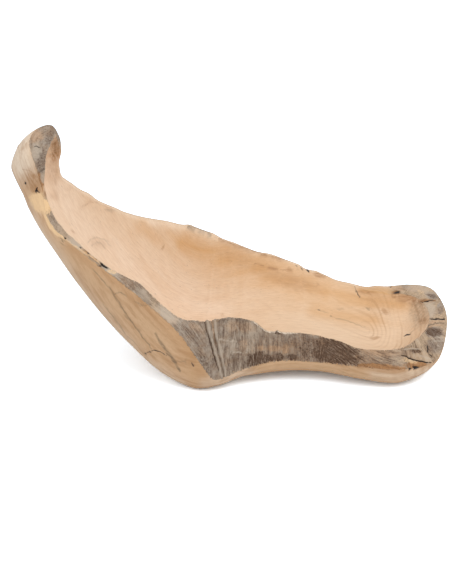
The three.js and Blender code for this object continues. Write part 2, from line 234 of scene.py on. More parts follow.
SPOTS = (
    # The horn's brown patch, star check, bore hole and bare sapwood.
    Spot("brown", "outside", (35, 182), (14, 9.5), 52, 0.9),
    Spot("crack", "hull", (36.4, 191.3), (1.6, 1.3), 0, 1.0, -1.2),
    Spot("crack", "hull", (25.5, 183.6), (0.9, 0.9), 0, 1.0, -1.2),
    Spot("brown", "outside", (44.5, 189), (4, 9), -8, 0.5),
    Spot("tan", "face", (44.5, 190), (3.4, 8), -8, 0.8),
    Spot("yellow", "outside", (40.5, 204), (13, 8), 42),
    Spot("tan", "face", (36, 136), (8, 7), 0, 0.7),
    Spot("pale", "face", (36, 151), (5, 9), 10, 0.75),
    Spot("pale", "face", (43.4, 179), (2.2, 5), -15, 0.8),
    Spot("dark", "face", (43, 160), (5, 14), 5, 0.5),
    Spot("grey", "face", (43, 158), (7, 18), 8, 0.9),
    Spot("dark", "face", (50, 136), (4, 9), 20, 0.52),
    # The crumbly thin rim.
    Spot("crack", "outside", (104.6, 265), (4.6, 1.7), 36, 1.0, -2.0),
    Spot("crack", "outside", (100.5, 265.6), (1.2, 1.0), 0, 0.9, -1.5),
    Spot("crack", "outside", (65.4, 238.2), (1.2, 1.0), 0, 0.9, -1.0),
    Spot("yellow", "outside", (112, 271.5), (6, 2.0), 12, 0.6),
    Spot("pale", "face", (110, 270), (9, 3.4), 30, 0.9),
    Spot("dark", "face", (129, 283), (11, 5), 42, 0.4),
    Spot("pale", "face", (167, 314), (12, 6), 42, 0.95),
    Spot("pale", "face", (143.5, 296), (8, 5), 42, 0.4),
    Spot("brown", "face", (128, 282), (11, 5), 42, 0.35),
    Spot("crack", "outside", (80.6, 247.6), (1.3, 0.8), 35, 0.7, -0.6),
    Spot("crack", "outside", (88.4, 253), (1.5, 0.8), 35, 0.7, -0.6),
    Spot("tan", "face", (168, 315), (11, 6), 42),
    Spot("tan", "outside", (76, 244.5), (10, 3.6), 38),
    Spot("pale", "face", (76, 244), (10, 4), 38, 0.9),
    Spot("tan", "outside", (92, 256), (9, 3.4), 37),
    Spot("brown", "outside", (84, 250.4), (5, 1.8), 36, 0.8),
    Spot("brown", "outside", (95, 257.6), (4, 1.6), 36, 0.7),
    # The weathered face.
    Spot("tan", "face", (196, 328), (9, 4), 35, 0.5),
    Spot("tan", "face", (262, 348.6), (3.6, 2.6)),
    Spot("tan", "face", (274, 348.8), (8, 3), 0, 0.9),
    Spot("tan", "face", (285.5, 349.5), (3.4, 5), 10),
    Spot("tan", "face", (240, 327), (16, 6), 5, 0.6),
    Spot("tan", "face", (244, 345), (5, 6), 0, 0.5),
    Spot("dark", "face", (291, 340), (12, 7), 0, 0.42),
    Spot("dark", "face", (205, 364), (6, 15), -18, 0.55),
    Spot("brown", "face", (335, 352), (62, 17), 8, 0.38),
    Spot("brown", "face", (280, 352), (40, 15), 4, 0.3),
    Spot("brown", "face", (410, 353), (22, 9), 8, 0.3),
    Spot("tan", "face", (356.5, 356.5), (2.2, 1.8)),
    Spot("tan", "face", (380, 352), (18, 4), 6, 0.7),
    Spot("dark", "face", (257, 360), (12, 7.4), -12, 0.95),
    Spot("dark", "face", (268.8, 359), (4.8, 5.2), 0, 0.95),
    Spot("dark", "face", (279, 358), (4.6, 5.6), 0, 0.9),
    Spot("dark", "face", (292, 357.6), (5.4, 4.4)),
    Spot("dark", "face", (310, 349), (16, 14), 0, 0.6),
    Spot("dark", "face", (336, 353), (28, 15), 10, 0.85),
    Spot("dark", "face", (354, 358), (8, 9), 0, 0.75),
    Spot("dark", "face", (278, 333), (5, 1.8), 6, 0.8),
    # The tail's end, and painted shade on the inner end wall of its hollow.
    Spot("yellow", "outside", (410, 360.6), (9, 3.4), 15, 0.5),
    Spot("brown", "outside", (417, 364.6), (13, 3.6), -2, 0.95),
    Spot("grey", "face", (434, 332), (10, 6), 5),
    Spot("dark", "face", (434.3, 331.6), (8.4, 4.2), 5, 0.9, -0.8),
    Spot("grey", "face", (437, 344), (10, 11), 0, 0.85),
    Spot("dark", "face", (436, 345), (11, 12), 0, 0.4),
    Spot("dark", "face", (416.8, 350.9), (5.6, 2.0), 5, 0.95, -0.8),
    Spot("dark", "face", (412, 349), (12, 5), 0, 0.42),
    Spot("grey", "face", (432, 295.7), (8, 3.6), 15),
    Spot("dark", "face", (432, 295.9), (6, 2.2), 15, 0.65),
    Spot("grey", "face", (440.4, 307), (3.4, 8), 8, 0.95),
    Spot("pale", "face", (417, 288), (14, 4), 10, 0.5),
    Spot("tan", "face", (414, 288), (12, 3.4), 8, 0.7),
    Spot("grey", "face", (406.5, 286), (6, 2.2), 0, 0.8),
    Spot("tan", "face", (398, 288.4), (8, 2.4), 0, 0.9),
    Spot("yellow", "face", (421, 292), (6.4, 2.6), 28, 0.45),
    Spot("tan", "face", (430, 309), (7, 9), 0, 0.4),
    Spot("pale", "face", (430, 309), (6, 8), 0, 0.7),
    Spot("brown", "all", (421, 301.4), (2, 3.2), 20, 1.0, -0.6),
    Spot("crack", "outside", (416, 367.2), (3.4, 1.3), 12, 1.0, -2.0),
    Spot("crack", "outside", (410.2, 368.4), (1.5, 0.7), 0, 0.9, -1.0),
    Spot("crack", "all", (390.7, 286.9), (0.9, 0.7), 0, 0.8, -0.8),
    Spot("brown", "all", (395.5, 293), (4.2, 2.4), -12, 1.0, -0.6),
    Spot("crack", "all", (396.6, 291.8), (3.4, 0.9), -14, 0.75, -0.8),
    Spot("brown", "hollow", (393.6, 296), (3, 3), 0, 0.9),
    # Painted shade on the inner end wall of the tail's hollow, in brown and vein colour.
    Spot("brown", "hollow", (409, 298), (14, 6.4), 14),
    Spot("vein_and_shade", "hollow", (420, 312), (9, 15), 8, 0.5),
    Spot("brown", "hollow", (423.4, 320.7), (5, 3), -15, 0.8),
    # Knots and stains of the hollow and its back rim.
    Spot("brown", "all", (319.6, 275.4), (5.8, 2.2), 14, 1.0, -0.5),
    Spot("brown", "hollow", (317, 286), (2.4, 0.8), -55, 0.8),
    Spot("brown", "hollow", (246, 262), (28, 8), 24, 0.25),
    Spot("crack", "all", (296, 265.6), (1.2, 0.6), 20, 0.8, -0.5),
    Spot("crack", "all", (302, 268), (0.9, 0.6), 0, 0.7, -0.5),
    Spot("crack", "all", (308, 270.4), (1.5, 0.8), 35, 0.9, -0.8),
    Spot("brown", "hollow", (292, 281.5), (30, 7), 17, 0.42),
    Spot("brown", "hollow", (366, 291), (9, 2.6), 0, 0.8),
    Spot("brown", "hollow", (384.6, 311.6), (3.6, 2.4), 45, 0.8),
    Spot("brown", "hollow", (375.5, 337.8), (5, 1.3), -8, 0.9),
    Spot("brown", "hollow", (55, 195), (5, 6), 0, 0.3),
    Spot("brown", "hollow", (56, 150), (5, 13), 10),
    Spot("vein_and_shade", "hollow", (56, 146), (5, 9), 10, 0.4),
    Spot("brown", "hollow", (53, 172), (6, 16), 0, 0.3),
    Spot("brown", "hollow", (73.6, 231.4), (1.0, 1.0), 0, 0.9),
    Spot("brown", "hollow", (163, 247), (0.9, 0.8), 0, 0.8),
    Spot("brown", "hollow", (157, 273), (0.9, 0.7), 0, 0.6),
    Spot("brown", "hollow", (222, 314.5), (1.2, 0.6), 0, 0.6),
    Spot("brown", "hollow", (98, 243), (9, 5), 20, 0.3),
    Spot("vein_and_shade", "hollow", (110, 210), (6, 1.2), 5, 0.4),
    Spot("vein_and_shade", "hollow", (331, 316), (1.1, 0.8), 0, 1.0, -0.3),
    Spot("vein_and_shade", "hollow", (319, 310), (1.4, 0.7), 20, 1.0, -0.3),
    Spot("vein_and_shade", "hollow", (357, 322), (0.9, 0.7), 0, 1.0, -0.3),
    Spot("vein_and_shade", "hollow", (368, 308.5), (1.2, 0.8), 0, 1.0, -0.3),
)
TINTS = ("honey_and_shade", "blush", "cream", "brown", "yellow", "vein_and_shade", "dark", "tan", "pale", "grey", "crack")
BROAD_TINTS = ("honey_and_shade", "blush", "cream", "dark")  # these fade out over their width

# Small rises and dips of the rim: (place of the rim, spread in places, lift in millimetres).
RIM_LIFTS = (
    (9.3, 0.6, 3.2), (10.25, 0.2, 1.0), (10.6, 0.13, -3.5), (10.93, 0.06, 2.0), (11.4, 0.45, 2.8),
    (12.6, 0.25, 2.0), (13.2, 0.25, 1.8), (19.0, 0.25, -2.0), (19.5, 0.3, -3.0), (20.9, 0.1, 1.5),
    (21.2, 0.08, -1.5), (23.4, 0.3, 1.0), (26.5, 0.3, 1.5), (30.6, 0.2, 2.5), (31.55, 0.25, -3.6),
)

# Steps of the mesh between neighbouring places of the rim, and down each surface.
SLOPE_STEPS = 8  # horn to flank
BELLY_STEPS = 14  # flank to tail
SLOPE_SECTIONS = 5
TAIL_STEPS = 10
HORN_STEPS = 8
HOLLOW_ROWS = 32
FACE_ROWS = 11
HULL_ROWS = 30
RIM_POWER = 0.25  # of the spline through the places of the rim
CHART_GAP = 0.01  # left free round each chart of the bake's map

# Where the mesh is cut finer: on the weathered face and along narrow marks.
FINE_CUTS = 3
FINE_KINDS = ("crack", "vein_and_shade", "brown")
FINE_WIDTH = 3.3  # millimetres of a line
FINE_MARGIN = 2 * MM  # beyond a line's width
FINE_RADIUS = 6  # pixels of a spot
FINE_SPREAD = 2  # radii of a spot
FACE_SLACK = 0.01 * MM
GREY_SLACK = 0.01

# Outlines of the marks.
MARK_SLACK = 0.6 * MM  # by which a mark may pass the border of its surface
WANDER_CELL = 4 * MM
WANDER_SEEDS = (11, 12)
LINE_WANDER = 1.6  # pixels
LINE_END = 0.55  # width of a line's ends as a share of its middle
LINE_EDGE = 1.7  # half widths at which a line has faded out
SPOT_WANDER = 0.6  # smaller radii
SPOT_EDGE = 1.35  # radii at which a spot has faded out
SPOT_FADE = 0.7  # radii over which it fades
WRAP = 0.8  # sine of the turn past the silhouette over which broad tints fade out

# Rounding of the corner where the keel ends on the horn.
CORNER_REACH = 40 * MM
CORNER_TURNS = 150  # of smoothing
CORNER_SWELL = 2.2 * MM  # pushes the hull out again
CORNER_LIFT = 13 * MM  # this far above the corner


class Uneven(NamedTuple):
    """Unevenness of a surface: its cells and its height in millimetres, and the seed of its noise."""

    cell: tuple
    height: float
    seed: int


LATTICE = 32  # cells of the noise before it repeats
RIM_CHIPS = (Uneven((9,), 1.2, 3), Uneven((3,), 0.9, 4))
CHIP_LIMIT = 0.2  # of the height of the rim's face
BACK_WAVE = Uneven((18,), 2.4, 5)
UPRIGHT_FIBRES = Uneven((1.7, 20), 0.6, 21)
SLANTING_FIBRES = Uneven((20, 1.9), 0.6, 24)
BUNDLES = Uneven((6, 50), 1.2, 22)
LUMPS = Uneven((12, 13), 1.5, 23)
GRAINS = Uneven((1.9, 1.9, 1.9), 0.9, 25)
HAND = Uneven((38, 38, 38), 1.0, 31)  # of the carver
FACE_SINK = 0.5 * MM  # of the weathered face below the sanded wood
FACE_BORDER = 1.5 * MM  # over which it sinks
WORN_RISE = 0.4  # greyness over the back rim's at which the relief is full

# Columns of the photo between which the wood changes, and one pair of rows.
FLUTES_PIXEL = 212
EDGE_FIBRES = (FLUTES_PIXEL, 197)  # left of the flutes the fibres follow the hull's edge
SLANT_START = (312, 340)
SLANT_END = (408, 396)
SMOOTH_TAIL = (405, 420)
SMOOTH_TAIL_ROWS = (330, 318)
FIBRES_START = (80, 100)  # left of here, the horn's end grain has none
FRINGE_START = (246, 258)  # pale fringe below the lip
FRINGE_END = (306, 288)
TAIL_RINGS = (330, 395)
SLANT_DOWN = 0.93  # direction across the slanting fibres
SLANT_ALONG = -0.37

VECTORS = ("rim", "lay", "grain", "arc", "warmth", "stain_and_shade", "wear_and_shade", "cut", "worn")
TAIL_HEART = (165 * MM, 25 * MM)  # x and y of the middle of the rings in the tail
RING_BEND = 0.45  # the rings lie wider apart across the tail than along it
RING_SPREAD = 0.6  # and lean towards the back as they leave it
RING_LEAST = 0.15  # of their strength, away from the tail
STREAK_SLOPE = 2  # by which the streaks run off to the back


class Pattern(NamedTuple):
    """Noise in the wood's colour: its cell in millimetres along three directions, where 0 is endless."""

    cell: tuple
    detail: float = 2.0
    roughness: float = 0.5
    distortion: float = 0.0


# Sanded wood: along the grain, then across it.
FIGURE = Pattern((120, 14, 40), 3)
STREAKS = Pattern((110, 6, 8), 4, 0.55)
SWIRLS = Pattern((80, 50, 50), 1)
RING_PATCHES = Pattern((8, 0, 90), 1)  # across the rings, then from front to back
FINE_GRAIN = Pattern((16, 1.2, 1.3), 3, 0.6)
PORES = Pattern((6, 0.9, 0.9), 1)  # real pores are a tenth as wide and would not show
STAIN_AND_SHADE_CLOUDS = Pattern((24, 2.5, 2.5), 3, 0.6)
# Weathered wood: along the rim, then down its face.
FIBRE_LENGTH = 10
FIBRE_DETAIL = (3, 0.6, 0.6)  # as the last three values of a pattern
SPECKS = Pattern((1.7, 2.2, 0), 3, 0.7)
MOTTLE = Pattern((6, 6, 0), 4, 0.65, 0.8)
FLUTES = Pattern((4.5, 50, 0), 2, 0.5, 0.3)
BANDS = Pattern((26, 4, 0), 3, 0.6, 0.5)  # along the rim, then across the slanting fibres
BROWN_CLOUDS = Pattern((16, 12, 0), 3, 0.6)
BLOTCHES = Pattern((2.2, 2.2, 0), 3, 0.65)

# How a value becomes a share: (value at the start, at the end, share at the start, at the end).
STREAK_RAMP = (0.46, 0.68, 0.0, 0.5)
RING_RAMP = (0.36, 0.7, 0.0, 0.4)
WAVE_RAMP = (-0.2, 1.0)
GRAIN_RAMP = (0.35, 0.72, 0.0, 0.24)
PORE_RAMP = (0.7, 0.78, 0.0, 0.4)
EDGE_RAMP = (-3.0 * MM, -0.5 * MM, 0.0, 0.9)
STAIN_AND_SHADE_RAMP = (0.35, 0.65, 0.35, 1.0)
SAPWOOD_RAMP = (0.35, 0.65, 0.7, 1.0)
CALM_RAMP = (0.0, 1.0, 0.35, 0.0)
FIBRE_RAMP = (0.0, 1.0, 0.3, 0.62)
BARK_RAMP = (0.36, 0.66, 0.05, 0.8)
SHADE_RAMP = (0.52, 0.3, 0.0, 0.75)
LIGHT_RAMP = (0.54, 0.7, 0.0, 0.55)
LOW_RAMP = (0.46, 0.3, 0.0, 0.6)
DARK_RAMP = (0.44, 0.6, 1.0, 0.4)
HIGH_RAMP = (0.53, 0.7, 0.0, 0.5)
FRINGE_RAMP = (4.5 * MM, 0.5 * MM, 0.0, 0.8)
JAG_RAMP = (0.0, 1.0, 3 * MM, 9 * MM)
BORDER_RAMP = (-0.3 * MM, 0.3 * MM)
WORN_RAMP = (0.06, 0.14)
CRACK_RAMP = (0.2, 0.75)
ROUGHNESS_RAMP = (0.0, 1.0, 0.5, 0.9)  # sanded and waxed, weathered
RING_WANDER = 9 * MM
FLUTE_SHARE = 0.7
BAND_SHARE = 0.75
CALM_MOTTLE = 0.52
PALE_SHARE = 0.8
RELIEF_SHARE = 0.1 / MM  # by which the relief paints shade on low places and highlight on high ones
SANDED_BUMP = 0.08  # of the weathered wood's
BUMP_STRENGTH = 0.8
BUMP_DEPTH = 1.4 * MM
WOOD_IOR = 1.5

FLOOR_HALF = 6.0  # metres, as are the places and sizes of the softboxes
SOFTBOX = (2.0, 1.5)
KEY_PLACE = (0.9, -0.4, 1.5)
FILL_PLACE = (-1.2, -1.1, 1.1)
LIGHT_AIM = (0, 0, 0.1)
SKY_WHITE = "#FFFFFF"
PAPER = "#E7E7E7"


class BowlSizes(bpy.types.PropertyGroup):
    """Main sizes of the bowl. x runs from horn to tail, y to the back and z up from the resting plane."""

    horn_reach: FloatProperty(
        name="Horn reach", description="Upper end of the keel, left of the origin",
        default=253.5 * MM, unit="LENGTH")
    horn_rise: FloatProperty(
        name="Horn rise", description="Upper end of the keel, above the resting plane",
        default=237 * MM, unit="LENGTH")
    horn_y: FloatProperty(
        name="Horn y", description="Upper end of the keel, towards the back", default=10 * MM, unit="LENGTH")
    horn_pull: FloatProperty(
        name="Horn pull", description="How far the keel keeps the horn's own direction",
        default=60 * MM, unit="LENGTH")
    horn_lean: FloatProperty(
        name="Horn lean", description="Slope of the horn from upright",
        default=math.radians(16), unit="ROTATION")
    heel_reach: FloatProperty(
        name="Heel reach", description="Lowest place of the hull, left of the origin",
        default=40 * MM, unit="LENGTH")
    heel_y: FloatProperty(
        name="Heel y", description="Lowest place of the hull, towards the back",
        default=-42 * MM, unit="LENGTH")
    heel_pull: FloatProperty(
        name="Heel pull", description="How far before the heel the keel turns level",
        default=90 * MM, unit="LENGTH")
    tail_reach: FloatProperty(
        name="Tail reach", description="End of the keel under the tail", default=198 * MM, unit="LENGTH")
    tail_y: FloatProperty(
        name="Tail y", description="End of the keel, towards the back", default=5 * MM, unit="LENGTH")
    front_depth: FloatProperty(
        name="Front depth", description="Foremost place of the rim", default=94 * MM, unit="LENGTH")
    back_depth: FloatProperty(
        name="Back depth", description="Rearmost place of the rim", default=108 * MM, unit="LENGTH")
    waist_arch: FloatProperty(
        name="Waist arch", description="Lift of the keel between heel and tail",
        default=9 * MM, unit="LENGTH")
    flat_depth: FloatProperty(
        name="Flat depth", description="Wood sanded off the keel for the resting flats",
        default=2.5 * MM, unit="LENGTH")
    floor: FloatProperty(
        name="Floor", description="Wood between the keel and the hollow", default=20 * MM, unit="LENGTH")
    hollow_y: FloatProperty(
        name="Hollow y", description="Middle line of the hollow's floor", default=10 * MM, unit="LENGTH")
    back_rim: FloatProperty(
        name="Back rim", description="Width of the thin rim along the back", default=7 * MM, unit="LENGTH")
    tail_round: FloatProperty(
        name="Tail roundness", description="How boxy the hull is round the tail's end", default=2.0)
    horn_round: FloatProperty(
        name="Horn roundness", description="How boxy the hull is over the horn", default=1.6)
    hollow_round: FloatProperty(
        name="Hollow roundness", description="How flat the hollow's floor is", default=2.2)


class BowlFinish(bpy.types.PropertyGroup):
    """Colours and grain of the wood."""

    peach: FloatVectorProperty(
        name="Hollow", description="Sanded sapwood of the hollow",
        default=linear("#E9CBAB"), subtype="COLOR", size=4)
    # The honey band is warmer heartwood, and on the hollow's back wall also painted shade.
    honey_and_shade: FloatVectorProperty(
        name="Honey band", description="Warmer heartwood below the back rim",
        default=linear("#D6A56D"), subtype="COLOR", size=4)
    blush: FloatVectorProperty(
        name="Prow", description="Pinkish wood of the slope below the horn",
        default=linear("#F2D9BF"), subtype="COLOR", size=4)
    khaki: FloatVectorProperty(
        name="Hull", description="Sanded outside of the hull",
        default=linear("#D8B38C"), subtype="COLOR", size=4)
    amber: FloatVectorProperty(
        name="Amber hull", description="Warmer wood of the hull beside the weathered face",
        default=linear("#C1966A"), subtype="COLOR", size=4)
    cream: FloatVectorProperty(
        name="Pale hull", description="Pale sapwood on the horn and along the keel",
        default=linear("#F4E1CA"), subtype="COLOR", size=4)
    ring: FloatVectorProperty(
        name="Rings", description="Late wood of the growth rings",
        default=linear("#A9794A"), subtype="COLOR", size=4)
    # The vein colour also paints shade on the inner end wall of the tail's hollow.
    vein_and_shade: FloatVectorProperty(
        name="Veins", description="Dark veins and stains", default=linear("#7A654D"), subtype="COLOR", size=4)
    driftwood: FloatVectorProperty(
        name="Weathered", description="Grey weathered root face",
        default=linear("#ADA092"), subtype="COLOR", size=4)
    # Umber also paints the shade in the weathered face's grooves, flutes and low places.
    umber: FloatVectorProperty(
        name="Weathered dark", description="Brown-black parts of the weathered face",
        default=linear("#503725"), subtype="COLOR", size=4)
    # The fibre colour also paints highlight on the weathered face's flutes and raised places.
    fibre: FloatVectorProperty(
        name="Fibres", description="Pale raised fibres of the weathered face",
        default=linear("#C6B7A5"), subtype="COLOR", size=4)
    bark: FloatVectorProperty(
        name="Weathered brown", description="Brown parts of the weathered face",
        default=linear("#A0856C"), subtype="COLOR", size=4)
    beige: FloatVectorProperty(
        name="Natural edge", description="Natural rim that is hardly weathered",
        default=linear("#C6AA8B"), subtype="COLOR", size=4)
    tan: FloatVectorProperty(
        name="Tan blotches", description="Warm blotches of the weathered face",
        default=linear("#C4A283"), subtype="COLOR", size=4)
    # The brown colour also paints shade on the inner end wall of the tail's hollow.
    brown: FloatVectorProperty(
        name="Stains", description="Brown stains and knots",
        default=linear("#A97B50"), subtype="COLOR", size=4)
    sapwood: FloatVectorProperty(
        name="Bare sapwood", description="Broken sapwood beside the weathered face",
        default=linear("#F3CE9F"), subtype="COLOR", size=4)
    crack: FloatVectorProperty(
        name="Cracks", description="Inside of cracks and holes",
        default=linear("#1E1712"), subtype="COLOR", size=4)
    ring_width: FloatProperty(
        name="Ring width", description="Distance between growth rings", default=5.0 * MM, unit="LENGTH")
    fibre_width: FloatProperty(
        name="Fibre width", description="Bundles of fibre on the weathered face",
        default=1.3 * MM, unit="LENGTH")


class BowlStage(bpy.types.PropertyGroup):
    """Camera and light."""

    aim: FloatVectorProperty(
        name="Aim", description="Point at the middle of the picture",
        default=(-11 * MM, -6.9 * MM, 88 * MM), subtype="TRANSLATION", unit="LENGTH")
    elevation: FloatProperty(
        name="Elevation", description="Height of the camera above level",
        default=math.radians(25), unit="ROTATION")
    distance: FloatProperty(
        name="Distance", description="From the camera to the aim", default=1660 * MM, unit="LENGTH")
    lens: FloatProperty(name="Lens", description="Focal length", default=85.0, unit="CAMERA")
    key_power: FloatProperty(name="Key light", description="Power of the overhead softbox", default=17.0)
    fill_power: FloatProperty(name="Fill light", description="Power of the softbox at the left", default=8.0)
    sky_strength: FloatProperty(name="Sky", description="Even light from all round", default=0.55)
    floor_white: FloatVectorProperty(
        name="Floor white",
        description="How bright the camera sees the floor, so that only deep shadow shows",
        default=(1.85, 2.1, 2.32))


def camera_axes(stage):
    """The camera's place, and its axes to the right, up and back."""
    tilt = stage.elevation
    back = np.array([0.0, -math.cos(tilt), math.sin(tilt)])
    up = np.array([0.0, math.sin(tilt), math.cos(tilt)])
    eye = np.array(stage.aim) + back * stage.distance
    return eye, np.array([1.0, 0.0, 0.0]), up, back


def photo_pixels(places, stage):
    """Where places show in the photo, in pixels."""
    eye, right, up, back = camera_axes(stage)
    focal = PHOTO_HEIGHT * stage.lens / SENSOR
    away = places - eye
    depth = -(away @ back)
    across = PHOTO_WIDTH / 2 + focal * (away @ right) / depth
    down = PHOTO_HEIGHT / 2 - focal * (away @ up) / depth
    return np.stack([across, down], axis=1)


def spline(points, at, closed=False, power=0.0):
    """Catmull-Rom curve through points, read at a count of points from the first one.

    power shares the curve out by the points' distances: 0 is even, and 0.25 keeps close points from looping.
    """
    points = np.asarray(points, float)
    count = len(points)
    here = np.floor(at).astype(int)
    if not closed:
        here = np.clip(here, 0, count - 2)
    part = (at - here)[:, None]
    around = [here + step for step in (-1, 0, 1, 2)]
    around = [i % count if closed else np.clip(i, 0, count - 1) for i in around]
    a, b, c, d = (points[i] for i in around)
    gaps = [np.sum((q - p) ** 2, axis=1, keepdims=True) for p, q in ((a, b), (b, c), (c, d))]
    g0, g1, g2 = (np.maximum(gap, 1e-12) ** power for gap in gaps)
    start = g1 * ((b - a) / g0 - (c - a) / (g0 + g1) + (c - b) / g1)
    end = g1 * ((c - b) / g1 - (d - b) / (g1 + g2) + (d - c) / g2)
    square = 3 * (c - b) - 2 * start - end
    cube = 2 * (b - c) + start + end
    return b + part * (start + part * (square + part * cube))


def soft_noise(places, seed):
    """Smooth noise from 0 to 1 with cells of one unit."""
    lattice = np.random.default_rng(seed).random((LATTICE, LATTICE, LATTICE))
    cell = np.floor(places).astype(int)
    part = places - cell
    part = part * part * (3 - 2 * part)
    total = np.zeros(len(places))
    for corner in np.ndindex(2, 2, 2):
        weight = np.prod(np.where(corner, part, 1 - part), axis=1)
        total += weight * lattice[tuple(((cell + corner) % LATTICE).T)]
    return total


def heights(uneven, *directions):
    """Heights of an unevenness in metres, about nought, from distances along one to three directions."""
    cells = [direction / (size * MM) for direction, size in zip(directions, uneven.cell)]
    cells += [np.zeros_like(cells[0])] * (3 - len(cells))
    return (soft_noise(np.stack(cells, axis=1), uneven.seed) - 0.5) * uneven.height * MM


def ramp(values, start, stop):
    """0 before start, 1 after stop and smooth between."""
    part = np.clip((values - start) / (stop - start), 0, 1)
    return part * part * (3 - 2 * part)


def keel_points(at, sizes):
    """The keel sweeps from the horn down to the heel, then runs in a low arch to the tail."""
    horn = np.array([-sizes.horn_reach, sizes.horn_y, sizes.horn_rise])
    below = horn + sizes.horn_pull * np.array([math.sin(sizes.horn_lean), 0, -math.cos(sizes.horn_lean)])
    heel = np.array([-sizes.heel_reach, sizes.heel_y, -sizes.flat_depth])
    before = np.array([heel[0] - sizes.heel_pull, (horn[1] + heel[1]) / 2, heel[2]])
    s = np.clip(2 * at, 0, 1)[:, None]
    upper = (1 - s) ** 3 * horn + 3 * s * (1 - s) ** 2 * below
    sweep = upper + 3 * s ** 2 * (1 - s) * before + s ** 3 * heel
    along = np.clip(2 * at - 1, 0, 1)
    x = heel[0] + (sizes.tail_reach - heel[0]) * along
    y = heel[1] + (sizes.tail_y - heel[1]) * np.sin(np.pi / 2 * along)
    z = sizes.waist_arch * np.sin(np.pi * along) ** 2 - sizes.flat_depth
    return np.where(at[:, None] < 0.5, sweep, np.stack([x, y, z], axis=1))


def section_planes(w, sizes):
    """Keel point, axis into the hollow, axis to the tail and floor point of the sections at w, 0 to 1."""
    spread = spline([(s.at, s.lean) for s in SECTIONS], w * (len(SECTIONS) - 1))
    lean = np.radians(spread[:, 1])
    keel = keel_points(np.clip(spread[:, 0], 0, 1), sizes)
    nought = np.zeros_like(lean)
    depth = np.stack([np.sin(lean), nought, np.cos(lean)], axis=1)
    past = np.stack([np.cos(lean), nought, -np.sin(lean)], axis=1)
    trough = keel + depth * sizes.floor
    trough[:, 1] = sizes.hollow_y
    return keel, depth, past, trough


def rim_places(sizes):
    """Lips, edges, section, roundness and greyness of the rim's places.

    They go once round: front from horn to tail, tail end, back from tail to horn, horn top.
    """
    w = np.linspace(0, 1, len(SECTIONS))
    front = [(s.lip[0] * MM - sizes.front_depth, s.lip[1] * MM) for s in SECTIONS]
    front_edge = [(s.edge[0] * MM - sizes.front_depth, s.edge[1] * MM) for s in SECTIONS]
    back_edge = [(sizes.back_depth - s.back_edge[0] * MM, s.back_edge[1] * MM) for s in SECTIONS]
    back = [(y - sizes.back_rim, height) for y, height in back_edge]
    back[-1] = (sizes.back_depth - TAIL_BACK_LIP[0] * MM, TAIL_BACK_LIP[1] * MM)
    tail = np.array([TAIL_LIPS, TAIL_EDGES]) * MM
    horn = np.array([HORN_LIPS, HORN_EDGES]) * MM * (-1, 1, 1)
    ws = np.concatenate([w, np.ones(len(TAIL_LIPS)), w[::-1], np.zeros(len(HORN_LIPS))])
    keel, depth, past, _ = section_planes(ws, sizes)

    def rim(front_places, tail_places, back_places, horn_places):
        local = np.concatenate([
            [(0, y, height) for y, height in front_places], tail_places,
            [(0, y, height) for y, height in back_places[::-1]], horn_places])
        points = keel + past * local[:, :1] + depth * local[:, 2:]
        points[:, 1] = local[:, 1]
        return points

    lips = rim(front, tail[0], back, horn[0])
    edges = rim(front_edge, tail[1], back_edge, horn[1])
    rounds = np.concatenate([
        [s.round for s in SECTIONS], np.full(len(TAIL_LIPS), sizes.tail_round),
        [s.back_round for s in SECTIONS[::-1]], np.full(len(HORN_LIPS), sizes.horn_round)])
    greys = np.concatenate([
        [s.grey for s in SECTIONS], np.full(len(TAIL_LIPS), TAIL_GREY),
        np.full(len(SECTIONS), BACK_GREY), np.full(len(HORN_LIPS), HORN_GREY)])
    return lips, edges, ws, rounds, greys


def bow(base, rim, depth, share, risen):
    """Points at a share of the way across from base to rim, risen by a share of the depth between them."""
    to_rim = rim - base
    height = np.sum(to_rim * depth, axis=1, keepdims=True)
    return base + (to_rim - height * depth) * share + depth * height * risen


class Shell(NamedTuple):
    """The bowl's surface: columns round the rim, by rows from the hollow's floor over the rim to the keel."""

    points: np.ndarray  # columns, rows, xyz
    sample: np.ndarray  # which point of the floor line and the keel each column starts from
    fields: dict  # values by column and row
    along: np.ndarray  # distance round the rim


def rim_steps():
    """Columns of the mesh, counted in places of the rim, and the floor point that each starts from."""
    spans = len(SECTIONS) - 1
    front = [SLOPE_STEPS] * SLOPE_SECTIONS + [BELLY_STEPS] * (spans - SLOPE_SECTIONS)
    tail = [TAIL_STEPS] * (len(TAIL_LIPS) + 1)
    horn = [HORN_STEPS] * (len(HORN_LIPS) + 1)
    steps = front + tail + front[::-1] + horn
    at = np.concatenate([i + np.arange(n) / n for i, n in enumerate(steps)])
    half = sum(front)
    sample = np.concatenate([
        np.arange(half), np.full(sum(tail), half), half - np.arange(half), np.zeros(sum(horn), int)])
    return at, sample


def natural_edge(lip, edge, depth, at, along):
    """Chips the lip down the rim's face, and lifts or lowers the rim here and there, as the root grew."""
    down = edge - lip
    length = np.linalg.norm(down, axis=1, keepdims=True)
    chips = sum(heights(chip, along) + chip.height / 2 * MM for chip in RIM_CHIPS)
    chips = np.minimum(chips, CHIP_LIMIT * length[:, 0])
    lift = sum(size * MM * np.exp(-((at - place) / spread) ** 2) for place, spread, size in RIM_LIFTS)
    back = at > len(SECTIONS) + len(TAIL_LIPS) - 0.5
    lift = lift + back * heights(BACK_WAVE, along)
    lip = lip + down / length * chips[:, None] + depth * lift[:, None]
    return lip, edge + depth * (lift * back)[:, None]


